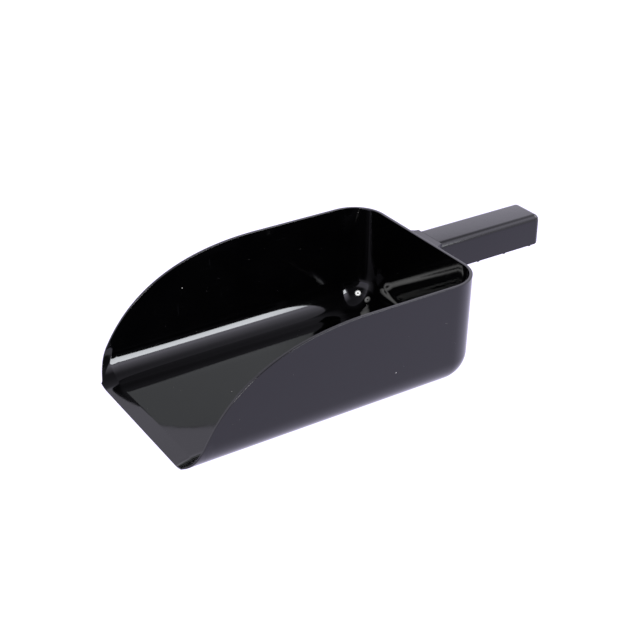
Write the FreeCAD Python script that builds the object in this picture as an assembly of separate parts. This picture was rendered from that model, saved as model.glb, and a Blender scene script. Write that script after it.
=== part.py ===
"""Feed scoop in moulded plastic: an open bowl, a hollow grip and the ribbed core inside the grip."""
import FreeCAD, Part
import math
import os

from FreeCAD import Vector

# Driving dimensions in millimetres and degrees.
# +X runs from the pouring lip to the end of the grip, +Z is up and the floor rests on z = 0.
# The origin is under the middle of the overall length, on the plane of symmetry.

BOWL_LENGTH = 231.5         # lip to the back wall's outer face, at the rim
BOWL_WIDTH = 150.0          # across the side walls' outer faces, at the rim
BOWL_HEIGHT = 81.0
WALL = 2.3
FLOOR = 1.7
SIDE_DRAFT = 0.6            # degrees that the side walls lean outwards
BACK_DRAFT = 1.2            # degrees that the back wall leans outwards
CORNER_RADIUS = 25.5        # rear corners in plan, outer face
FLOOR_RADIUS = 22.0         # between the floor and the walls, outer and inner faces

RIM_START = 2.0             # height of the rim curve at the lip
RIM_RUN = 136.0             # length of the rim curve, from the lip to the level rim
RIM_LOWER_PULL = 8.3        # how far the curve's lower handle reaches back, level
RIM_UPPER_PULL = 122.1      # how far the curve's upper handle reaches forward, level

LIP_EDGE = 0.7              # thickness left at the lip
LIP_BEVEL = 11.0            # how far back from the lip the inner bevel starts

GRIP_REACH = 100.5          # from the back wall's outer face at the rim to the grip's end
GRIP_WIDTH = 28.5
GRIP_HEIGHT = 23.4
GRIP_DROP = 1.4             # from the rim down to the grip's top face
GRIP_EDGE_RADIUS = 4.8      # upper long edges and the edges of the closed end
GRIP_WALL = 2.4

BOSS_LENGTH = 7.0           # from the back wall's outer face at the rim to the seam
BOSS_FLARE = 7.0            # radius of the flare into the back wall, in plan

CORE_SPINE = 3.0            # thickness of the spine
CORE_RIB = 2.0              # thickness of each cross rib
CORE_RIB_COUNT = 4
CORE_RIB_PITCH = 24.5
CORE_RIB_FIRST = 16.5       # from the back wall's outer face at the rim to the first rib
CORE_FOOT = 0.4             # how far each rib's foot laps under the channel's edges
TANG_WIDTH = 12.0
TANG_HEIGHT = 12.0
TANG_LENGTH = 5.5           # how far the tang enters the boss

OVERALL_LENGTH = BOWL_LENGTH + GRIP_REACH
LIP_X = -OVERALL_LENGTH / 2
BACK_X = LIP_X + BOWL_LENGTH
TIP_X = BACK_X + GRIP_REACH
SEAM_X = BACK_X + BOSS_LENGTH
GRIP_TOP = BOWL_HEIGHT - GRIP_DROP
GRIP_BOTTOM = GRIP_TOP - GRIP_HEIGHT
CLEAR = 20.0                # how far cutting tools run past the material
TINY = 0.01                 # tolerance for picking edges


def wire(*edges):
    """A wire from edges in order."""
    return Part.Wire(list(edges))


def line(start, end):
    """A straight edge."""
    return Part.LineSegment(start, end).toShape()


def arc(start, middle, end):
    """A circular edge through three points."""
    return Part.Arc(start, middle, end).toShape()


def box(x0, x1, y0, y1, z0, z1):
    """A block between two corners."""
    return Part.makeBox(x1 - x0, y1 - y0, z1 - z0, Vector(x0, y0, z0))


def plan_wire(z, inset, front_x):
    """The bowl's plan outline at height z, moved inwards by inset: a rectangle with round rear corners."""
    drop = BOWL_HEIGHT - z
    half = BOWL_WIDTH / 2 - drop * math.tan(math.radians(SIDE_DRAFT)) - inset
    back = BACK_X - drop * math.tan(math.radians(BACK_DRAFT)) - inset
    radius = CORNER_RADIUS - inset
    mid = radius * (1 - math.sqrt(0.5))
    right_start = Vector(back - radius, -half, z)
    right_end = Vector(back, -half + radius, z)
    left_start = Vector(back, half - radius, z)
    left_end = Vector(back - radius, half, z)
    front_right = Vector(front_x, -half, z)
    front_left = Vector(front_x, half, z)
    return wire(
        line(front_right, right_start),
        arc(right_start, Vector(back - mid, -half + mid, z), right_end),
        line(right_end, left_start),
        arc(left_start, Vector(back - mid, half - mid, z), left_end),
        line(left_end, front_left),
        line(front_left, front_right),
    )


def tub(inset, floor_z, top_z, front_x):
    """A solid tub with drafted walls and a rounded edge around its floor, cut square at the front."""
    outlines = [plan_wire(floor_z, inset, front_x), plan_wire(top_z, inset, front_x)]
    body = Part.makeLoft(outlines, True, True)
    floor_edges = [
        edge for edge in body.Edges
        if edge.BoundBox.ZMax < floor_z + TINY and edge.BoundBox.XMax > front_x + TINY
    ]
    return body.makeFillet(FLOOR_RADIUS, floor_edges)


def section_wire(x, inset, floor_z):
    """The inner section across the walls at x, inset from their outer faces, with its floor at floor_z."""
    top_z = BOWL_HEIGHT + CLEAR
    lean = math.tan(math.radians(SIDE_DRAFT))
    foot = BOWL_WIDTH / 2 - (BOWL_HEIGHT - floor_z) * lean - inset
    turn = math.radians(90 - SIDE_DRAFT)
    setback = FLOOR_RADIUS * math.tan(turn / 2)
    top = foot + (top_z - floor_z) * lean
    floor_end = foot - setback
    wall_y = foot + setback * math.sin(math.radians(SIDE_DRAFT))
    wall_z = floor_z + setback * math.cos(math.radians(SIDE_DRAFT))
    mid_y = floor_end + FLOOR_RADIUS * math.sin(turn / 2)
    mid_z = floor_z + FLOOR_RADIUS * (1 - math.cos(turn / 2))

    def point(y, z):
        return Vector(x, y, z)

    return wire(
        line(point(-floor_end, floor_z), point(floor_end, floor_z)),
        arc(point(floor_end, floor_z), point(mid_y, mid_z), point(wall_y, wall_z)),
        line(point(wall_y, wall_z), point(top, top_z)),
        line(point(top, top_z), point(-top, top_z)),
        line(point(-top, top_z), point(-wall_y, wall_z)),
        arc(point(-wall_y, wall_z), point(-mid_y, mid_z), point(-floor_end, floor_z)),
    )


def lip_bevel_tool():
    """The space that thins the floor and walls towards the lip. Past the bevel it lies inside the hollow."""
    ahead = section_wire(LIP_X - LIP_BEVEL, 2 * LIP_EDGE - WALL, 2 * LIP_EDGE - FLOOR)
    behind = section_wire(LIP_X + 2 * LIP_BEVEL, 2 * WALL - LIP_EDGE, 2 * FLOOR - LIP_EDGE)
    return Part.makeLoft([ahead, behind], True, True)


def above_rim_tool():
    """Everything above the rim: a curve swept up from the lip into the level rim."""
    start = Vector(LIP_X, 0, RIM_START)
    end = Vector(LIP_X + RIM_RUN, 0, BOWL_HEIGHT)
    curve = Part.BezierCurve()
    curve.setPoles([
        start,
        start + Vector(RIM_LOWER_PULL, 0, 0),
        end - Vector(RIM_UPPER_PULL, 0, 0),
        end,
    ])
    ahead = Vector(LIP_X - CLEAR, 0, RIM_START)
    behind = Vector(BACK_X + CLEAR, 0, BOWL_HEIGHT)
    up = Vector(0, 0, BOWL_HEIGHT + 2 * CLEAR)
    outline = wire(
        line(ahead, start),
        curve.toShape(),
        line(end, behind),
        line(behind, Vector(behind.x, 0, up.z)),
        line(Vector(behind.x, 0, up.z), Vector(ahead.x, 0, up.z)),
        line(Vector(ahead.x, 0, up.z), ahead),
    )
    width = BOWL_WIDTH + 2 * CLEAR
    face = Part.Face(outline)
    face.translate(Vector(0, -width / 2, 0))
    return face.extrude(Vector(0, width, 0))


def boss():
    """The flared block behind the back wall: grip-wide at the seam, widening in plan into the wall."""
    half = GRIP_WIDTH / 2
    wall_x = BACK_X - WALL / 2
    mid = BOSS_FLARE * (1 - math.sqrt(0.5))
    flare_x = SEAM_X - BOSS_FLARE

    def point(x, y):
        return Vector(x, y, GRIP_BOTTOM)

    outline = wire(
        line(point(SEAM_X, -half), point(SEAM_X, half)),
        arc(point(SEAM_X, half), point(flare_x + mid, half + mid), point(flare_x, half + BOSS_FLARE)),
        line(point(flare_x, half + BOSS_FLARE), point(wall_x, half + BOSS_FLARE)),
        line(point(wall_x, half + BOSS_FLARE), point(wall_x, -half - BOSS_FLARE)),
        line(point(wall_x, -half - BOSS_FLARE), point(flare_x, -half - BOSS_FLARE)),
        arc(point(flare_x, -half - BOSS_FLARE), point(flare_x + mid, -half - mid), point(SEAM_X, -half)),
    )
    return Part.Face(outline).extrude(Vector(0, 0, GRIP_HEIGHT))


def tang_block(length):
    """The tang's block, from the seam into the boss."""
    middle_z = (GRIP_TOP - GRIP_WALL + GRIP_BOTTOM) / 2
    return box(SEAM_X - length, SEAM_X, -TANG_WIDTH / 2, TANG_WIDTH / 2,
               middle_z - TANG_HEIGHT / 2, middle_z + TANG_HEIGHT / 2)


def bowl_shell():
    """The bowl with its boss and the socket for the grip's core."""
    outer = tub(0, 0, BOWL_HEIGHT, LIP_X)
    inner = tub(WALL, FLOOR, BOWL_HEIGHT + CLEAR, LIP_X - CLEAR)
    shell = outer.fuse(boss()).cut(inner).cut(lip_bevel_tool()).cut(above_rim_tool())
    return shell.cut(tang_block(TANG_LENGTH)).removeSplitter()


def grip_block(inset, start_x):
    """The grip's box section, moved inwards by inset, with its upper and end edges rounded."""
    half = GRIP_WIDTH / 2 - inset
    bottom = GRIP_BOTTOM if inset == 0 else GRIP_BOTTOM - CLEAR
    end_x = TIP_X - inset
    top_z = GRIP_TOP - inset
    block = box(start_x, end_x, -half, half, bottom, top_z)
    rounded = [
        edge for edge in block.Edges
        if edge.BoundBox.XMax > start_x + TINY
        and (edge.BoundBox.ZMin > top_z - TINY or edge.BoundBox.XMin > end_x - TINY)
    ]
    return block.makeFillet(GRIP_EDGE_RADIUS - inset, rounded)


def handle_channel():
    """The grip's outer moulding: closed at the end and open underneath."""
    return grip_block(0, SEAM_X).cut(grip_block(GRIP_WALL, SEAM_X - CLEAR)).removeSplitter()


def handle_rib_core():
    """The core under the channel: tang, spine and cross ribs with feet under the channel's edges."""
    half = GRIP_WIDTH / 2
    spine = box(SEAM_X, TIP_X, -CORE_SPINE / 2, CORE_SPINE / 2, GRIP_BOTTOM + GRIP_WALL, GRIP_TOP)
    root_plate = box(SEAM_X, SEAM_X + CORE_RIB, -half, half, GRIP_BOTTOM, GRIP_TOP)
    web = spine.fuse(root_plate)
    feet = []
    for index in range(CORE_RIB_COUNT):
        rib_x = BACK_X + CORE_RIB_FIRST + index * CORE_RIB_PITCH
        web = web.fuse(box(rib_x, rib_x + CORE_RIB, -half, half, GRIP_BOTTOM, GRIP_TOP))
        feet.append(box(rib_x, rib_x + CORE_RIB, -half, half, GRIP_BOTTOM - CORE_FOOT, GRIP_BOTTOM))
    inside_channel = grip_block(GRIP_WALL, SEAM_X)
    core = web.common(inside_channel).fuse(tang_block(TANG_LENGTH))
    return core.fuse(feet).removeSplitter()


def main():
    os.makedirs("parts", exist_ok=True)
    parts = {
        "bowl_shell": bowl_shell(),
        "handle_channel": handle_channel(),
        "handle_rib_core": handle_rib_core(),
    }
    for name, shape in parts.items():
        print(name, shape.isValid(), len(shape.Solids), "solid,", round(shape.Volume / 1000, 1), "cm3")
        shape.exportStep("parts/" + name + ".step")


main()
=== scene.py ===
"""Feed scoop: the looks, the studio and the camera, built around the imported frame. Metres throughout."""
import math

import bmesh
import bpy
from mathutils import Matrix, Vector

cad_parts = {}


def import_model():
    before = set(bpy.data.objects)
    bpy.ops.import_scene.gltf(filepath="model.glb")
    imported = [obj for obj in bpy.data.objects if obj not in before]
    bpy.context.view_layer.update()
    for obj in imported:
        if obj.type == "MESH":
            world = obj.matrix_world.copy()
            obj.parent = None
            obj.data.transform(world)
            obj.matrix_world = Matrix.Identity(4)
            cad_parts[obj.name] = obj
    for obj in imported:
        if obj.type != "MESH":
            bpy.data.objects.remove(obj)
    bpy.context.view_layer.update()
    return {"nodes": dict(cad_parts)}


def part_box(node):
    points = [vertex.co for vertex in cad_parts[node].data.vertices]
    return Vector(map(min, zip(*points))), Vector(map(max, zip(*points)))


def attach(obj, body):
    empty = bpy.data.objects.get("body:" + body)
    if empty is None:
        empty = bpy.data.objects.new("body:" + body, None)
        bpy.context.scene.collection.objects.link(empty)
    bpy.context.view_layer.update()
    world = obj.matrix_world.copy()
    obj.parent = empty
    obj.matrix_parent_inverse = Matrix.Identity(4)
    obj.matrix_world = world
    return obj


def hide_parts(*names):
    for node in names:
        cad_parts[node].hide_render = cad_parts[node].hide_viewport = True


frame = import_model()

MM = 0.001

# Bowl: the CAD part's own sizes.
BOSS_LENGTH = 7.0 * MM        # from the back wall's outer face to the seam
BOSS_FLARE = 7.0 * MM
WALL = 2.3 * MM
FLOOR = 1.7 * MM
SIDE_LEAN = math.tan(math.radians(0.6))
BACK_LEAN = math.tan(math.radians(1.2))
CORNER_RADIUS = 25.5 * MM     # upright corners between the back and the sides
FLOOR_RADIUS = 22.0 * MM      # outer fillet between the floor and the walls
INNER_RADIUS = 22.0 * MM      # the same fillet inside
RIM_START = 2.0 * MM          # height of the rim at the lip
RIM_RUN = 136.0 * MM          # length over which the side rims sweep up
RIM_LOWER_PULL = 8.3 * MM     # pull of that sweep's tangent at the lip
RIM_UPPER_PULL = 122.1 * MM   # and at its top end
LIP_EDGE = 0.7 * MM
LIP_BEVEL = 11.0 * MM

# Rim: finer than the CAD part's.
RIM_BEVEL = 5.0 * MM          # width of the thinned band up the side rims
RIM_BEVEL_END = 40.0 * MM     # where that band has faded out, from the lip
RIM_ROUND = 0.25 * MM
RIM_CLEARANCE = 0.005 * MM    # keeps the rim inside the CAD part's box

# Grip.
GRIP_WALL = 2.4 * MM
GRIP_ROUND = 4.8 * MM
GRIP_STEPS = 12
EDGE_SOFTENING = 0.25 * MM
EDGE_STEPS = 3
SHARP_ANGLE = 35              # degrees; edges sharper than this are softened
TANG_SIZE = 12.0 * MM         # width and height of the core's tang in the boss
DOWNWARD = -0.999             # z of a face's normal where the face points straight down
TINY = 0.001 * MM             # points nearer than this are the same

# Mesh density of the bowl.
SIDE_COLUMNS = 88
CORNER_COLUMNS = 20
BACK_COLUMNS = 24
ARC_ROWS = 26
WALL_ROWS = 16
CAP_STEPS = 5
FLARE_STEPS = 12
LIP_SPACING = 0.25            # spacing of the columns at the lip, as a share of the even spacing
CREASE_STEP = 0.5 * MM        # columns stand this close on both sides of the lip bevel's end
CREASE_CLEARANCE = 0.3 * MM   # other columns this near to those are left out
ARC_FADE = 8.0 * MM           # rim height above the fillet over which the wall gets its own rows
RIM_CROWDING = 1.5            # how much closer the wall's rows stand towards the rim
CAP_LIMIT = 0.48              # the rim's round takes at most this share of the thickness
RIM_SEARCH_STEPS = 40
GAP_SEARCH_STEPS = 24
ROUNDING_SLACK = 1e-9

# Camera.
AZIMUTH = -32.545             # degrees
ELEVATION = 29.208
DISTANCE = 0.9817
FOCAL_MM = 73.33
SENSOR_MM = 36.0
CLIP_START = 0.05
AIM = Vector((0.0059, 0.0443, 0.0094))

# Plastic.
PLASTIC_IOR = 1.5
PLASTIC_SHEEN = 0.38          # the shader's Specular IOR Level
PLASTIC_BLACK = (0.00015, 0.00015, 0.0002)
PLASTIC_DARK_GREY = (0.0006, 0.0006, 0.0007)
SCRATCH_GREY = (0.03, 0.03, 0.033)
DUST_GREY = (0.30, 0.29, 0.27)
SCUFF_GREY = (0.22, 0.22, 0.21)
BOWL_POLISH = 0.055
BOWL_RIPPLE = 0.25
BOWL_SCRATCH = 0.15
BOWL_DUST = 0.5
GRIP_POLISH = 0.11
GRIP_RIPPLE = 0.5
GRIP_SCRATCH = 0.3
GRIP_DUST = 0.05

# Marks on the plastic. A range gives the noise values between which a mark appears.
BLOTCH_SIZE = 22 * MM
CLOUD_RANGE = (0.3, 0.7)
CLOUD_ROUGHNESS = (0.8, 1.35)        # shares of the polish
WORN_RANGE = (0.48, 0.62)
GRAIN_SIZE = 1.4 * MM
GRAIN_ROUGHNESS = 0.2
SCRATCH_WIDTH = 0.5 * MM
LONG_SCRATCH_RANGE = (0.70, 0.78)
TALL_SCRATCH_RANGE = (0.71, 0.79)
SCRATCH_ROUGHNESS = 0.5
LONG_SCRATCH = (60, 2, 1)     # how far the scratches along the scoop are drawn out
TALL_SCRATCH = (1.5, 2, 50)   # and those up its walls
FLOW_SIZE = 5 * MM
FLOW_STRETCH = (0.8, 1.2, 7)
BIG_DUST = (16 * MM, 0.5 * MM)       # spacing and radius of the specks
SMALL_DUST = (5 * MM, 0.14 * MM)
SPECK_CORE = 0.5                     # a speck is full inside this share of its radius
FLOW_DEPTH = 0.05 * MM
GRAIN_DEPTH = 0.006 * MM
SCRATCH_DEPTH = 0.01 * MM
DUST_DEPTH = 0.05 * MM
DUST_STRENGTH = 0.6
DUST_ROUGHNESS = 0.7
SCUFF_REACH = (1.5 * MM, 7 * MM)     # scuffs are full inside the first distance and gone past the second
SCUFF_SIZE = 1.8 * MM
SCUFF_RANGE = (0.56, 0.64)
SCUFF_ROUGHNESS = 0.6
TOOL_GRAIN = 0.8 * MM
TOOL_LINE = 0.6 * MM
TOOL_STRETCH = (40, 1, 1)
TOOL_RANGE = (0.3, 0.7)
TOOL_DEPTH = 0.02 * MM
TOOL_STRENGTH = 0.5
CORE_ROUGHNESS = (0.28, 0.42)

# Studio. A stop is the sine of the height above the horizon and the brightness there.
BACKDROP_TINT = (1.03, 1.0, 1.17)
BEHIND_STOPS = ((0.0, 1.5), (0.40, 1.5), (0.44, 1.58), (0.50, 1.2), (0.56, 1.09), (0.60, 1.3), (0.65, 1.32),
                (0.8, 0.5), (1.0, 0.3))
SOFTBOX_SIDE_STOPS = ((0.0, 1.3), (0.30, 1.3), (0.62, 2.8), (0.72, 2.8), (0.77, 2.05), (0.83, 1.45),
                      (0.875, 1.05), (0.915, 0.6), (0.95, 0.25), (1.0, 0.2))
CAMERA_SIDE_STOPS = ((0.0, 1.2), (0.22, 1.2), (0.34, 0.1), (0.75, 0.1), (0.88, 0.25), (1.0, 0.2))
FRONT_MIX = (-0.15, 0.05)     # the camera side turns into the softbox side over these directions' x
BACK_MIX = (-0.25, 0.25)      # and both turn into the backdrop over these directions' y
FLOOR_TINT = (1.05, 1.0, 1.29)
FLOOR_ALBEDO = 0.08
FLOOR_GLOW = 1.04
FLOOR_GAP = 0.2 * MM
FLOOR_HALF = 6.0
FLOOR_ROUGHNESS = 0.9
FIBRE_SIZE = 1.5 * MM
FIBRE_DEPTH = 0.05 * MM
FIBRE_STRENGTH = 0.3
FIBRE_CONTRAST = 1.06
SOFTBOX_TARGET = (0.0, 0.0, 0.05)
SOFTBOX_PLACE = (0.36, -0.90, 0.57)
SOFTBOX_WIDTH = 0.68
SOFTBOX_HEIGHT = 0.465
SOFTBOX_RADIANCE = 19.5
SOFTBOX_FOOT_AND_HEAD = (0.8, 1.05)   # shares of the radiance at its lower and upper edges
SOFTBOX_TINT = (0.97, 1.0, 1.05)
SOFTBOX_FADE = 0.2            # width of the stretch over which one end fades
SOFTBOX_END = 0.45            # share of the radiance that is left at that end
DISH_TARGET = (0.052, 0.062, 0.011)
DISH_PLACE = (-0.588, -0.323, 0.676)
DISH_RADIUS = 0.19
DISH_HOLE = 0.062
DISH_STEPS = 48
DISH_RADIANCE = (42.0, 14.0)  # beside the deflector and at the edge
DISH_TINT = (1.0, 1.0, 1.0)

bowl_low, bowl_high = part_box("bowl_shell")
grip_low, grip_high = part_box("handle_channel")
core_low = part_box("handle_rib_core")[0]
SEAM_X = grip_low.x
TIP_X = grip_high.x
GRIP_BOTTOM = grip_low.z
GRIP_TOP = grip_high.z
LIP_X = bowl_low.x
BACK_X = bowl_high.x - BOSS_LENGTH
HALF_WIDTH = bowl_high.y
RIM_Z = bowl_high.z - RIM_CLEARANCE


def new_object(name, mesh):
    """A mesh object linked to the scene."""
    obj = bpy.data.objects.new(name, mesh)
    bpy.context.scene.collection.objects.link(obj)
    return obj


def clamp(value, low=0.0, high=1.0):
    """The value, kept between two limits."""
    return max(low, min(high, value))


# ---------------------------------------------------------------- bowl

def rim_curve(t):
    """Distance from the lip and height of the rim curve at t, and its unit direction there."""
    poles = [
        (0.0, RIM_START),
        (RIM_LOWER_PULL, RIM_START),
        (RIM_RUN - RIM_UPPER_PULL, RIM_Z),
        (RIM_RUN, RIM_Z),
    ]
    s = 1 - t
    weights = (s ** 3, 3 * s * s * t, 3 * s * t * t, t ** 3)
    point = [sum(w * p[k] for w, p in zip(weights, poles)) for k in (0, 1)]
    slopes = (s * s, 2 * s * t, t * t)
    steps = [(poles[i + 1][0] - poles[i][0], poles[i + 1][1] - poles[i][1]) for i in range(3)]
    direction = Vector([sum(w * d[k] for w, d in zip(slopes, steps)) for k in (0, 1)]).normalized()
    return point[0], point[1], direction


def rim_height(run):
    """Height of the sheet's edge at a distance from the lip, just inside the rounded rim."""
    if run >= RIM_RUN:
        return RIM_Z - RIM_ROUND - WALL * SIDE_LEAN
    low, high = 0.0, 1.0
    for _ in range(RIM_SEARCH_STEPS):
        middle = (low + high) / 2
        x, _, direction = rim_curve(middle)
        if x + RIM_ROUND * direction.y < run:
            low = middle
        else:
            high = middle
    _, z, direction = rim_curve(low)
    return z - RIM_ROUND * direction.x - WALL * SIDE_LEAN


def side_stations():
    """Distances from the lip of the bowl's cross sections, closer together towards the lip."""
    total = BACK_X - CORNER_RADIUS - LIP_X
    runs = []
    for i in range(SIDE_COLUMNS + 1):
        q = i / SIDE_COLUMNS
        runs.append(total * (LIP_SPACING * q + (1 - LIP_SPACING) * q * q))
    crease = [LIP_BEVEL - CREASE_STEP, LIP_BEVEL, LIP_BEVEL + CREASE_STEP]
    kept = [r for r in runs if min(abs(r - c) for c in crease) > CREASE_CLEARANCE]
    kept[0] = RIM_ROUND
    return sorted(kept + crease)


class Column:
    """One section of the bowl's sheet, from the floor's edge up to the rim."""

    def __init__(self, rim_point, outward, top_z, run):
        self.rim_point = rim_point
        self.outward = outward
        self.top_z = top_z
        self.run = run
        self.lean = BACK_LEAN * abs(outward.x) + SIDE_LEAN * abs(outward.y)

    def sheet(self):
        """Rows from floor to rim: [outer point, inward normal, distance to the rim, gap to inside]."""
        lean_angle = math.atan(self.lean)
        turn = math.pi / 2 - lean_angle
        edge_inset = RIM_Z * self.lean + FLOOR_RADIUS * math.tan(turn / 2)
        arc_top = FLOOR_RADIUS * (1 - math.cos(turn))
        count = ARC_ROWS + WALL_ROWS
        if self.top_z <= arc_top:
            arc_share = 1.0
            turn_end = math.acos(1 - self.top_z / FLOOR_RADIUS)
        else:
            fade = clamp((self.top_z - arc_top) / ARC_FADE)
            arc_share = 1.0 + (ARC_ROWS / count - 1.0) * fade
            turn_end = turn
        rows = []
        for k in range(count + 1):
            q = k / count
            if q <= arc_share + ROUNDING_SLACK:
                angle = turn_end * q / arc_share
                inset = edge_inset - FLOOR_RADIUS * math.sin(angle)
                z = FLOOR_RADIUS * (1 - math.cos(angle))
            else:
                angle = turn
                w = (q - arc_share) / (1 - arc_share)
                w = 1 - (1 - w) ** RIM_CROWDING
                z = arc_top + (self.top_z - arc_top) * w
                inset = (RIM_Z - z) * self.lean
            point = self.rim_point - self.outward * inset
            point = Vector((point.x, point.y, z))
            sideways = -self.outward * math.sin(angle)
            normal = Vector((sideways.x, sideways.y, math.cos(angle)))
            rows.append([point, normal, 0.0, inner_gap(inset, z, angle, self.lean)])
        for k in range(count - 1, -1, -1):
            rows[k][2] = rows[k + 1][2] + (rows[k + 1][0] - rows[k][0]).length
        return rows


def inside(inset, z, lean):
    """Whether a point of a section is in the bowl's hollow; its inset is from the outer wall at the rim."""
    wall = WALL + (RIM_Z - z) * lean
    if z < FLOOR or inset < wall:
        return False
    slant = math.sqrt(1 + lean * lean)
    centre_z = FLOOR + INNER_RADIUS
    centre_inset = WALL + (RIM_Z - centre_z) * lean + INNER_RADIUS * slant
    if z >= centre_z or inset >= centre_inset:
        return True
    return math.hypot(centre_inset - inset, centre_z - z) <= INNER_RADIUS


def inner_gap(inset, z, angle, lean):
    """Distance from a point of the outer face, along its inward normal, to the inner face."""
    low, high = 0.0, FLOOR_RADIUS
    for _ in range(GAP_SEARCH_STEPS):
        middle = (low + high) / 2
        if inside(inset + middle * math.sin(angle), z + middle * math.cos(angle), lean):
            high = middle
        else:
            low = middle
    return high


def bowl_columns():
    """Columns round the bowl: left lip corner, left side, back, right side, right lip corner."""
    runs = side_stations()
    left = []
    for run in runs:
        left.append(Column(Vector((LIP_X + run, HALF_WIDTH, 0)), Vector((0, 1, 0)), rim_height(run), run))
    level = RIM_Z - RIM_ROUND - WALL * BACK_LEAN
    centre = Vector((BACK_X - CORNER_RADIUS, HALF_WIDTH - CORNER_RADIUS, 0))
    for i in range(1, CORNER_COLUMNS + 1):
        a = math.pi / 2 * (1 - i / CORNER_COLUMNS)
        outward = Vector((math.cos(a), math.sin(a), 0))
        left.append(Column(centre + outward * CORNER_RADIUS, outward, level, BACK_X - LIP_X))
    back = []
    for i in range(1, BACK_COLUMNS):
        y = centre.y * (1 - 2 * i / BACK_COLUMNS)
        back.append(Column(Vector((BACK_X, y, 0)), Vector((1, 0, 0)), level, BACK_X - LIP_X))
    right = []
    for c in reversed(left):
        point = Vector((c.rim_point.x, -c.rim_point.y, 0))
        right.append(Column(point, Vector((c.outward.x, -c.outward.y, 0)), c.top_z, c.run))
    return left + back + right, len(runs)


def thinning(run, to_rim):
    """The share of the wall's thickness that is left near the lip and along the lower side rims."""
    at_lip = 1 - run / LIP_BEVEL
    fade = clamp(1 - run / RIM_BEVEL_END)
    at_rim = (1 - to_rim / (RIM_BEVEL + LIP_BEVEL * fade * fade)) * fade
    return 1 - (1 - LIP_EDGE / FLOOR) * clamp(max(at_lip, at_rim))


def cap_profile(wall):
    """(share of the thickness, height) of the points across a rounded edge of that thickness."""
    radius = min(RIM_ROUND, CAP_LIMIT * wall)
    half = []
    for k in range(1, CAP_STEPS + 1):
        a = math.pi / 2 * k / CAP_STEPS
        half.append((radius * (1 - math.cos(a)) / wall, radius * math.sin(a)))
    return half + [(1 - share, height) for share, height in reversed(half)]


def bowl_mesh():
    """The bowl as one closed sheet of quads with an inner and an outer face and a rounded edge."""
    columns, side_count = bowl_columns()
    outer, inner = [], []

    def add(point, normal, run, to_rim, gap):
        outer.append(point)
        inner.append(point + normal * gap * thinning(run, to_rim))
        return len(outer) - 1

    grid = []
    for column in columns:
        grid.append([add(p, n, column.run, to_rim, gap) for p, n, to_rim, gap in column.sheet()])

    corner_y = HALF_WIDTH - CORNER_RADIUS
    up = Vector((0, 0, 1))
    floor = []
    for i in range(side_count):
        x = columns[i].rim_point.x
        line = []
        for j in range(BACK_COLUMNS + 1):
            y = corner_y * (1 - 2 * j / BACK_COLUMNS)
            line.append(add(Vector((x, y, 0)), up, columns[i].run, 1.0, FLOOR))
        floor.append(line)

    faces = []
    for a, b in zip(grid, grid[1:]):
        for k in range(len(a) - 1):
            faces.append((a[k], b[k], b[k + 1], a[k + 1]))
    for a, b in zip(floor, floor[1:]):
        for k in range(len(a) - 1):
            faces.append((a[k], a[k + 1], b[k + 1], b[k]))
    last = len(columns) - 1
    for i in range(side_count - 1):
        faces.append((floor[i][0], floor[i + 1][0], grid[i + 1][0], grid[i][0]))
        faces.append((floor[i][-1], grid[last - i][0], grid[last - i - 1][0], floor[i + 1][-1]))
    end = side_count - 1
    for i in range(CORNER_COLUMNS):
        faces.append((floor[end][0], grid[end + i + 1][0], grid[end + i][0]))
        faces.append((floor[end][-1], grid[last - end - i][0], grid[last - end - i - 1][0]))
    first_back = end + CORNER_COLUMNS
    for j in range(BACK_COLUMNS):
        column = first_back + j
        faces.append((floor[end][j], floor[end][j + 1], grid[column + 1][0], grid[column][0]))

    # Edge of the sheet, in order, each with the vertex behind it.
    loop = [(c[-1], c[-2]) for c in grid]
    loop += [(grid[-1][k], grid[-2][k]) for k in range(len(grid[-1]) - 2, -1, -1)]
    loop += [(floor[0][j], floor[1][j]) for j in range(BACK_COLUMNS, -1, -1)]
    loop += [(grid[0][k], grid[1][k]) for k in range(len(grid[0]) - 1)]

    verts = outer + inner
    offset = len(outer)
    quads = [tuple(reversed(f)) for f in faces]
    quads += [tuple(v + offset for v in f) for f in faces]
    rings = []
    for i, (v, behind) in enumerate(loop):
        before, after = outer[loop[i - 1][0]], outer[loop[(i + 1) % len(loop)][0]]
        across = inner[v] - outer[v]
        edge_out = (after - before).cross(across).normalized()
        if edge_out.dot(outer[v] - outer[behind]) < 0:
            edge_out.negate()
        ring = [v]
        for share, height in cap_profile(across.length):
            verts.append(outer[v] + across * share + edge_out * height)
            ring.append(len(verts) - 1)
        ring.append(v + offset)
        rings.append(ring)
    for i, a in enumerate(rings):
        b = rings[(i + 1) % len(rings)]
        for k in range(len(a) - 1):
            quads.append((a[k], a[k + 1], b[k + 1], b[k]))

    mesh = bpy.data.meshes.new("bowl")
    mesh.from_pydata([tuple(v) for v in verts], [], quads)
    mesh.update()
    return mesh


def finish_mesh(obj):
    """Merges doubles, turns the faces outwards and shades them smooth."""
    bm = bmesh.new()
    bm.from_mesh(obj.data)
    bmesh.ops.remove_doubles(bm, verts=bm.verts, dist=TINY)
    bmesh.ops.recalc_face_normals(bm, faces=bm.faces)
    bm.to_mesh(obj.data)
    bm.free()
    obj.data.shade_smooth()


def make_bowl():
    """The bowl: floor, side walls, back wall, thinned lip and rounded rim."""
    obj = new_object("bowl", bowl_mesh())
    finish_mesh(obj)
    return obj


# ---------------------------------------------------------------- boss and grip

def prism(bm, outline, low, high):
    """A closed prism on a plan outline, between two heights."""
    bottom = [bm.verts.new((x, y, low)) for x, y in outline]
    top = [bm.verts.new((x, y, high)) for x, y in outline]
    bm.faces.new(bottom)
    bm.faces.new(top)
    for i in range(len(outline)):
        j = (i + 1) % len(outline)
        bm.faces.new((bottom[i], bottom[j], top[j], top[i]))


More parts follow.
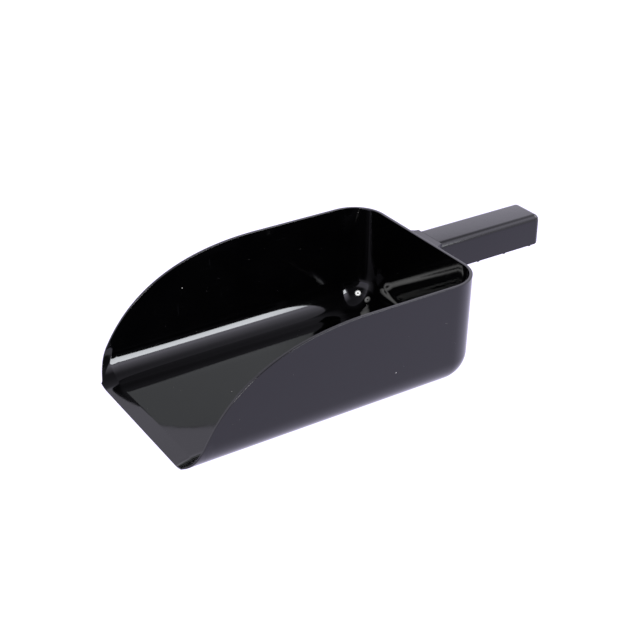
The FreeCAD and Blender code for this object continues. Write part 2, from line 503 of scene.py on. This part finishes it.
def soften(obj):
    """Rounds the piece's sharp edges and keeps its flat faces flat."""
    bevel = obj.modifiers.new("edges", "BEVEL")
    bevel.width = EDGE_SOFTENING
    bevel.segments = EDGE_STEPS
    bevel.limit_method = "ANGLE"
    bevel.angle_limit = math.radians(SHARP_ANGLE)
    bevel.harden_normals = True
    obj.data.shade_smooth()


def sink_socket(bm):
    """Opens the boss's seam face into the square socket that holds the core's tang."""
    middle_z = (GRIP_BOTTOM + GRIP_TOP - GRIP_WALL) / 2
    seam_face = [f for f in bm.faces if all(abs(v.co.x - SEAM_X) < TINY for v in f.verts)][0]
    outer = list(seam_face.verts)
    bm.faces.remove(seam_face)
    mouth, end = [], []
    for vert in outer:
        y = math.copysign(TANG_SIZE / 2, vert.co.y)
        z = middle_z + math.copysign(TANG_SIZE / 2, vert.co.z - middle_z)
        mouth.append(bm.verts.new((SEAM_X, y, z)))
        end.append(bm.verts.new((core_low.x, y, z)))
    for i in range(len(outer)):
        j = (i + 1) % len(outer)
        bm.faces.new((outer[i], outer[j], mouth[j], mouth[i]))
        bm.faces.new((mouth[i], mouth[j], end[j], end[i]))
    bm.faces.new(end)


def make_boss():
    """The flared block that carries the grip, set into the back wall."""
    half = grip_high.y
    wall_x = BACK_X - WALL / 2
    side = []
    for i in range(FLARE_STEPS + 1):
        a = math.pi / 2 * i / FLARE_STEPS
        side.append((SEAM_X - BOSS_FLARE * math.sin(a), half + BOSS_FLARE * (1 - math.cos(a))))
    side.append((wall_x, half + BOSS_FLARE))
    outline = side + [(x, -y) for x, y in reversed(side)]
    bm = bmesh.new()
    prism(bm, outline, GRIP_BOTTOM, GRIP_TOP)
    sink_socket(bm)
    bmesh.ops.recalc_face_normals(bm, faces=bm.faces)
    mesh = bpy.data.meshes.new("rear_boss")
    bm.to_mesh(mesh)
    bm.free()
    obj = new_object("rear_boss", mesh)
    soften(obj)
    return obj


def is_lower_long_edge(edge):
    """Whether an edge of the grip's block runs along it at the bottom."""
    start, end = (v.co for v in edge.verts)
    return start.y == end.y and start.z == end.z and start.z < GRIP_TOP


def make_grip():
    """The grip's outer moulding: rounded above and all round its end, open underneath."""
    half = grip_high.y
    bm = bmesh.new()
    bmesh.ops.create_cube(bm, size=1.0)
    for vert in bm.verts:
        vert.co.x = TIP_X if vert.co.x > 0 else SEAM_X
        vert.co.y = half if vert.co.y > 0 else -half
        vert.co.z = GRIP_TOP if vert.co.z > 0 else GRIP_BOTTOM
    bm.normal_update()
    at_seam = [f for f in bm.faces if f.normal.x < -0.5]
    bmesh.ops.delete(bm, geom=at_seam, context="FACES_ONLY")
    rounded = [e for e in bm.edges if len(e.link_faces) == 2 and not is_lower_long_edge(e)]
    bmesh.ops.bevel(bm, geom=rounded, offset=GRIP_ROUND, offset_type="OFFSET", segments=GRIP_STEPS,
                    profile=0.5, affect="EDGES")
    bm.normal_update()
    underside = [f for f in bm.faces if f.normal.z < DOWNWARD]
    bmesh.ops.delete(bm, geom=underside, context="FACES")
    mesh = bpy.data.meshes.new("grip")
    bm.to_mesh(mesh)
    bm.free()
    obj = new_object("grip", mesh)
    solid = obj.modifiers.new("wall", "SOLIDIFY")
    solid.thickness = GRIP_WALL
    solid.offset = -1
    solid.use_even_offset = True
    soften(obj)
    return obj


# ---------------------------------------------------------------- camera

def camera():
    """The camera, at its distance and direction from the point it aims at."""
    data = bpy.data.cameras.new("camera")
    data.lens = FOCAL_MM
    data.sensor_width = SENSOR_MM
    data.clip_start = CLIP_START
    obj = bpy.data.objects.new("camera", data)
    bpy.context.scene.collection.objects.link(obj)
    az, el = math.radians(AZIMUTH), math.radians(ELEVATION)
    back = Vector((math.sin(az) * math.cos(el), -math.cos(az) * math.cos(el), math.sin(el)))
    right = Vector((math.cos(az), math.sin(az), 0))
    up = back.cross(right)
    rot = Matrix((right, up, back)).transposed().to_4x4()
    obj.matrix_world = Matrix.Translation(AIM + back * DISTANCE) @ rot
    bpy.context.scene.camera = obj


# ---------------------------------------------------------------- shader nodes

def link(tree, source, socket):
    """Join a node's output to an input socket."""
    tree.links.new(source, socket)


def math_node(tree, operation, first, second):
    """A Math node whose inputs are output sockets or plain numbers; gives its output."""
    node = tree.nodes.new("ShaderNodeMath")
    node.operation = operation
    for value, socket in zip((first, second), node.inputs):
        if isinstance(value, (int, float)):
            socket.default_value = value
        else:
            link(tree, value, socket)
    return node.outputs[0]


def map_range(tree, value, source_range, target_range, smooth=False):
    """Map a value from one range to another, clamped; gives the output."""
    node = tree.nodes.new("ShaderNodeMapRange")
    if smooth:
        node.interpolation_type = "SMOOTHSTEP"
    node.inputs["From Min"].default_value = source_range[0]
    node.inputs["From Max"].default_value = source_range[1]
    node.inputs["To Min"].default_value = target_range[0]
    node.inputs["To Max"].default_value = target_range[1]
    link(tree, value, node.inputs["Value"])
    return node.outputs["Result"]


def noise(tree, coords, size, stretch=(1, 1, 1), detail=3.0):
    """Noise with blotches about `size` metres across, drawn out by `stretch`; gives its value."""
    mapping = tree.nodes.new("ShaderNodeMapping")
    mapping.inputs["Scale"].default_value = [1 / (size * s) for s in stretch]
    link(tree, coords, mapping.inputs["Vector"])
    node = tree.nodes.new("ShaderNodeTexNoise")
    node.inputs["Scale"].default_value = 1.0
    node.inputs["Detail"].default_value = detail
    link(tree, mapping.outputs["Vector"], node.inputs["Vector"])
    return node.outputs["Fac"]


def specks(tree, coords, spacing, radius, share):
    """Round specks in about `share` of the cells of a jittered grid; 1 on a speck and 0 elsewhere."""
    node = tree.nodes.new("ShaderNodeTexVoronoi")
    node.inputs["Scale"].default_value = 1 / spacing
    link(tree, coords, node.inputs["Vector"])
    reach = radius / spacing
    dot = map_range(tree, node.outputs["Distance"], (reach, SPECK_CORE * reach), (0, 1))
    split = tree.nodes.new("ShaderNodeSeparateColor")
    link(tree, node.outputs["Color"], split.inputs[0])
    kept = math_node(tree, "LESS_THAN", split.outputs[0], share)
    return math_node(tree, "MULTIPLY", dot, kept)


def blend(tree, factor, first, second):
    """Two colours mixed by a factor; gives the colour output."""
    node = tree.nodes.new("ShaderNodeMix")
    node.data_type = "RGBA"
    link(tree, factor, node.inputs["Factor"])
    for colour, name in ((first, "A"), (second, "B")):
        socket = [s for s in node.inputs if s.name == name and s.type == "RGBA"][0]
        if isinstance(colour, tuple):
            socket.default_value = (*colour, 1)
        else:
            link(tree, colour, socket)
    return [s for s in node.outputs if s.type == "RGBA"][0]


def bump(tree, height, depth, strength, normal=None):
    """A bump of a given depth in metres, on top of another bump; gives the normal output."""
    node = tree.nodes.new("ShaderNodeBump")
    node.inputs["Strength"].default_value = strength
    node.inputs["Distance"].default_value = depth
    link(tree, height, node.inputs["Height"])
    if normal is not None:
        link(tree, normal, node.inputs["Normal"])
    return node.outputs["Normal"]


# ---------------------------------------------------------------- materials

def new_plastic(name):
    """An empty plastic material: its node tree, its shader and its object coordinates in metres."""
    material = bpy.data.materials.new(name)
    material.use_nodes = True
    tree = material.node_tree
    shader = tree.nodes["Principled BSDF"]
    shader.inputs["IOR"].default_value = PLASTIC_IOR
    shader.inputs["Specular IOR Level"].default_value = PLASTIC_SHEEN
    coords = tree.nodes.new("ShaderNodeTexCoord").outputs["Object"]
    return material, tree, shader, coords


def moulded_plastic(name, polish, ripple, scratch, dust):
    """Black moulded plastic: polish (roughness), surface ripple, handling scratches and a little dust."""
    material, tree, shader, coords = new_plastic(name)

    blotches = noise(tree, coords, BLOTCH_SIZE)
    fine = noise(tree, coords, GRAIN_SIZE)
    along = noise(tree, coords, SCRATCH_WIDTH, stretch=LONG_SCRATCH, detail=2.0)
    across = noise(tree, coords, SCRATCH_WIDTH, stretch=TALL_SCRATCH, detail=2.0)
    long_lines = map_range(tree, along, LONG_SCRATCH_RANGE, (0, 1))
    tall_lines = map_range(tree, across, TALL_SCRATCH_RANGE, (0, 1))
    worn_places = map_range(tree, blotches, WORN_RANGE, (0, 1), smooth=True)
    lines = math_node(tree, "MULTIPLY", math_node(tree, "MAXIMUM", long_lines, tall_lines), worn_places)
    big_dots = specks(tree, coords, *BIG_DUST, dust)
    small_dots = specks(tree, coords, *SMALL_DUST, dust)
    dots = math_node(tree, "MAXIMUM", big_dots, small_dots)

    tone = blend(tree, blotches, PLASTIC_BLACK, PLASTIC_DARK_GREY)
    scratched = blend(tree, math_node(tree, "MULTIPLY", lines, scratch), tone, SCRATCH_GREY)
    dusty = blend(tree, dots, scratched, DUST_GREY)
    link(tree, dusty, shader.inputs["Base Color"])

    cloudy = map_range(tree, blotches, CLOUD_RANGE, tuple(share * polish for share in CLOUD_ROUGHNESS))
    grain = math_node(tree, "MULTIPLY", fine, GRAIN_ROUGHNESS * polish)
    dull_lines = math_node(tree, "MULTIPLY", lines, SCRATCH_ROUGHNESS * scratch)
    rubbed = math_node(tree, "ADD", math_node(tree, "ADD", cloudy, grain), dull_lines)
    dull_dots = math_node(tree, "MULTIPLY", dots, DUST_ROUGHNESS)
    link(tree, math_node(tree, "MAXIMUM", rubbed, dull_dots), shader.inputs["Roughness"])

    flow = noise(tree, coords, FLOW_SIZE, stretch=FLOW_STRETCH, detail=1.0)
    normal = bump(tree, flow, FLOW_DEPTH, ripple)
    normal = bump(tree, fine, GRAIN_DEPTH, ripple, normal)
    normal = bump(tree, lines, SCRATCH_DEPTH, scratch, normal)
    normal = bump(tree, dots, DUST_DEPTH, DUST_STRENGTH, normal)
    link(tree, normal, shader.inputs["Normal"])
    return material, tree, shader, coords


def grip_plastic(name):
    """The grip's satin plastic: like the bowl's but duller, with the corner of its tip scuffed pale."""
    material, tree, shader, coords = moulded_plastic(name, GRIP_POLISH, GRIP_RIPPLE, GRIP_SCRATCH, GRIP_DUST)
    offset = tree.nodes.new("ShaderNodeVectorMath")
    offset.operation = "DISTANCE"
    offset.inputs[1].default_value = (TIP_X, -0.5 * (grip_high.y - grip_low.y), GRIP_TOP)
    link(tree, coords, offset.inputs[0])
    near_corner = map_range(tree, offset.outputs["Value"], SCUFF_REACH, (1, 0), smooth=True)
    chips = map_range(tree, noise(tree, coords, SCUFF_SIZE, detail=4.0), SCUFF_RANGE, (0, 1))
    scuffs = math_node(tree, "MULTIPLY", near_corner, chips)
    under = shader.inputs["Base Color"].links[0].from_socket
    link(tree, blend(tree, scuffs, under, SCUFF_GREY), shader.inputs["Base Color"])
    rough = shader.inputs["Roughness"].links[0].from_socket
    dull_scuffs = math_node(tree, "MULTIPLY", scuffs, SCUFF_ROUGHNESS)
    link(tree, math_node(tree, "MAXIMUM", rough, dull_scuffs), shader.inputs["Roughness"])
    return material


def core_plastic(name):
    """The matt, lightly tooled plastic of the ribs inside the grip."""
    material, tree, shader, coords = new_plastic(name)
    grain = noise(tree, coords, TOOL_GRAIN, detail=4.0)
    tooling = noise(tree, coords, TOOL_LINE, stretch=TOOL_STRETCH, detail=2.0)
    link(tree, blend(tree, grain, PLASTIC_BLACK, PLASTIC_DARK_GREY), shader.inputs["Base Color"])
    link(tree, map_range(tree, tooling, TOOL_RANGE, CORE_ROUGHNESS), shader.inputs["Roughness"])
    normal = bump(tree, tooling, TOOL_DEPTH, TOOL_STRENGTH)
    link(tree, bump(tree, grain, TOOL_DEPTH, TOOL_STRENGTH, normal), shader.inputs["Normal"])
    return material


# ---------------------------------------------------------------- studio

def ramp(tree, height, stops, tint):
    """A brightness that changes with height, from (height, brightness) stops; gives the colour output."""
    node = tree.nodes.new("ShaderNodeValToRGB")
    peak = max(value for _, value in stops)
    elements = node.color_ramp.elements
    while len(elements) < len(stops):
        elements.new(0.5)
    for element, (position, value) in zip(elements, stops):
        element.position = position
        element.color = (value / peak, value / peak, value / peak, 1)
    link(tree, height, node.inputs["Fac"])
    scale = tree.nodes.new("ShaderNodeVectorMath")
    scale.operation = "MULTIPLY"
    scale.inputs[1].default_value = [peak * c for c in tint]
    link(tree, node.outputs["Color"], scale.inputs[0])
    return scale.outputs["Vector"]


def world():
    """A pale studio: bright behind the scoop and by the softbox, dim overhead, dark around the camera."""
    studio = bpy.data.worlds.new("studio")
    bpy.context.scene.world = studio
    studio.use_nodes = True
    tree = studio.node_tree
    split = tree.nodes.new("ShaderNodeSeparateXYZ")
    link(tree, tree.nodes.new("ShaderNodeTexCoord").outputs["Generated"], split.inputs[0])
    behind = ramp(tree, split.outputs["Z"], BEHIND_STOPS, BACKDROP_TINT)
    beside = ramp(tree, split.outputs["Z"], SOFTBOX_SIDE_STOPS, BACKDROP_TINT)
    camera_side = ramp(tree, split.outputs["Z"], CAMERA_SIDE_STOPS, BACKDROP_TINT)
    to_right = map_range(tree, split.outputs["X"], FRONT_MIX, (0, 1))
    to_back = map_range(tree, split.outputs["Y"], BACK_MIX, (0, 1))
    front = blend(tree, to_right, camera_side, beside)
    background = tree.nodes["Background"]
    link(tree, blend(tree, to_back, front, behind), background.inputs["Color"])
    background.inputs["Strength"].default_value = 1


def lamp(name, mesh, centre, target, tint):
    """A glowing panel that faces a target, unseen by the camera.

    Gives its node tree, its strength socket and its coordinates across and upward.
    """
    obj = new_object(name, mesh)
    obj.location = centre
    obj.rotation_euler = (Vector(target) - Vector(centre)).to_track_quat("Z", "Y").to_euler()
    material = bpy.data.materials.new(name)
    material.use_nodes = True
    tree = material.node_tree
    tree.nodes.clear()
    glow = tree.nodes.new("ShaderNodeEmission")
    glow.inputs["Color"].default_value = (*tint, 1)
    link(tree, glow.outputs["Emission"], tree.nodes.new("ShaderNodeOutputMaterial").inputs["Surface"])
    mesh.materials.append(material)
    obj.visible_camera = False
    split = tree.nodes.new("ShaderNodeSeparateXYZ")
    link(tree, tree.nodes.new("ShaderNodeTexCoord").outputs["Object"], split.inputs[0])
    return tree, glow.inputs["Strength"], split.outputs["X"], split.outputs["Y"]


def softbox():
    """The long softbox beside the scoop, dimmer at its foot and fading at its far end."""
    w = SOFTBOX_WIDTH / 2
    h = SOFTBOX_HEIGHT / 2
    mesh = bpy.data.meshes.new("softbox")
    mesh.from_pydata([(-w, -h, 0), (w, -h, 0), (w, h, 0), (-w, h, 0)], [], [(0, 1, 2, 3)])
    tree, strength, across, upward = lamp("softbox", mesh, SOFTBOX_PLACE, SOFTBOX_TARGET, SOFTBOX_TINT)
    end_share = map_range(tree, across, (-w, -w + SOFTBOX_FADE), (SOFTBOX_END, 1), smooth=True)
    foot_to_head = tuple(SOFTBOX_RADIANCE * share for share in SOFTBOX_FOOT_AND_HEAD)
    by_height = map_range(tree, upward, (-h, h), foot_to_head)
    link(tree, math_node(tree, "MULTIPLY", end_share, by_height), strength)


def beauty_dish():
    """The round lamp beside the camera, with a small dark deflector at its centre."""
    rings = (DISH_HOLE, 0.5 * (DISH_HOLE + DISH_RADIUS), DISH_RADIUS)
    points = []
    for radius in rings:
        for k in range(DISH_STEPS):
            angle = 2 * math.pi * k / DISH_STEPS
            points.append((radius * math.cos(angle), radius * math.sin(angle), 0))
    faces = []
    for ring in range(len(rings) - 1):
        inner = ring * DISH_STEPS
        outer = inner + DISH_STEPS
        for k in range(DISH_STEPS):
            following = (k + 1) % DISH_STEPS
            faces.append((inner + k, outer + k, outer + following, inner + following))
    mesh = bpy.data.meshes.new("beauty_dish")
    mesh.from_pydata(points, [], faces)
    tree, strength, across, upward = lamp("beauty_dish", mesh, DISH_PLACE, DISH_TARGET, DISH_TINT)
    squares = [math_node(tree, "POWER", value, 2.0) for value in (across, upward)]
    from_centre = math_node(tree, "POWER", math_node(tree, "ADD", *squares), 0.5)
    link(tree, map_range(tree, from_centre, (DISH_HOLE, DISH_RADIUS), DISH_RADIANCE), strength)


def floor():
    """A pale, evenly lit paper floor."""
    mesh = bpy.data.meshes.new("floor")
    s = FLOOR_HALF
    mesh.from_pydata([(-s, -s, 0), (s, -s, 0), (s, s, 0), (-s, s, 0)], [], [(0, 1, 2, 3)])
    obj = new_object("floor", mesh)
    obj.location.z = -FLOOR_GAP
    material = bpy.data.materials.new("floor_paper")
    material.use_nodes = True
    tree = material.node_tree
    shader = tree.nodes["Principled BSDF"]
    coords = tree.nodes.new("ShaderNodeTexCoord").outputs["Object"]
    fibres = noise(tree, coords, FIBRE_SIZE, detail=4.0)
    pale = tuple(FLOOR_ALBEDO * c for c in FLOOR_TINT)
    paler = tuple(FIBRE_CONTRAST * c for c in pale)
    link(tree, blend(tree, fibres, pale, paler), shader.inputs["Base Color"])
    link(tree, bump(tree, fibres, FIBRE_DEPTH, FIBRE_STRENGTH), shader.inputs["Normal"])
    shader.inputs["Roughness"].default_value = FLOOR_ROUGHNESS
    shader.inputs["Specular IOR Level"].default_value = 0
    shader.inputs["Emission Color"].default_value = (*[c / max(FLOOR_TINT) for c in FLOOR_TINT], 1)
    shader.inputs["Emission Strength"].default_value = FLOOR_GLOW * max(FLOOR_TINT)
    mesh.materials.append(material)


# ---------------------------------------------------------------- the scene

camera()
world()
softbox()
beauty_dish()
floor()

bowl_finish = moulded_plastic("bowl_moulded_black", BOWL_POLISH, BOWL_RIPPLE, BOWL_SCRATCH, BOWL_DUST)[0]
grip_finish = grip_plastic("grip_satin_black")
core_finish = core_plastic("core_matt_black")

bowl = make_bowl()
boss = make_boss()
grip = make_grip()
for piece, node, finish, slot in ((bowl, "bowl_shell", bowl_finish, "bowl_plastic"),
                                  (boss, "bowl_shell", bowl_finish, "bowl_plastic"),
                                  (grip, "handle_channel", grip_finish, "grip_plastic")):
    piece.data.materials.append(finish)
    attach(piece, "root")
    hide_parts(node)
for material_slot in frame["nodes"]["handle_rib_core"].material_slots:
    material_slot.material = core_finish

bpy.context.scene.view_settings.view_transform = "Standard"
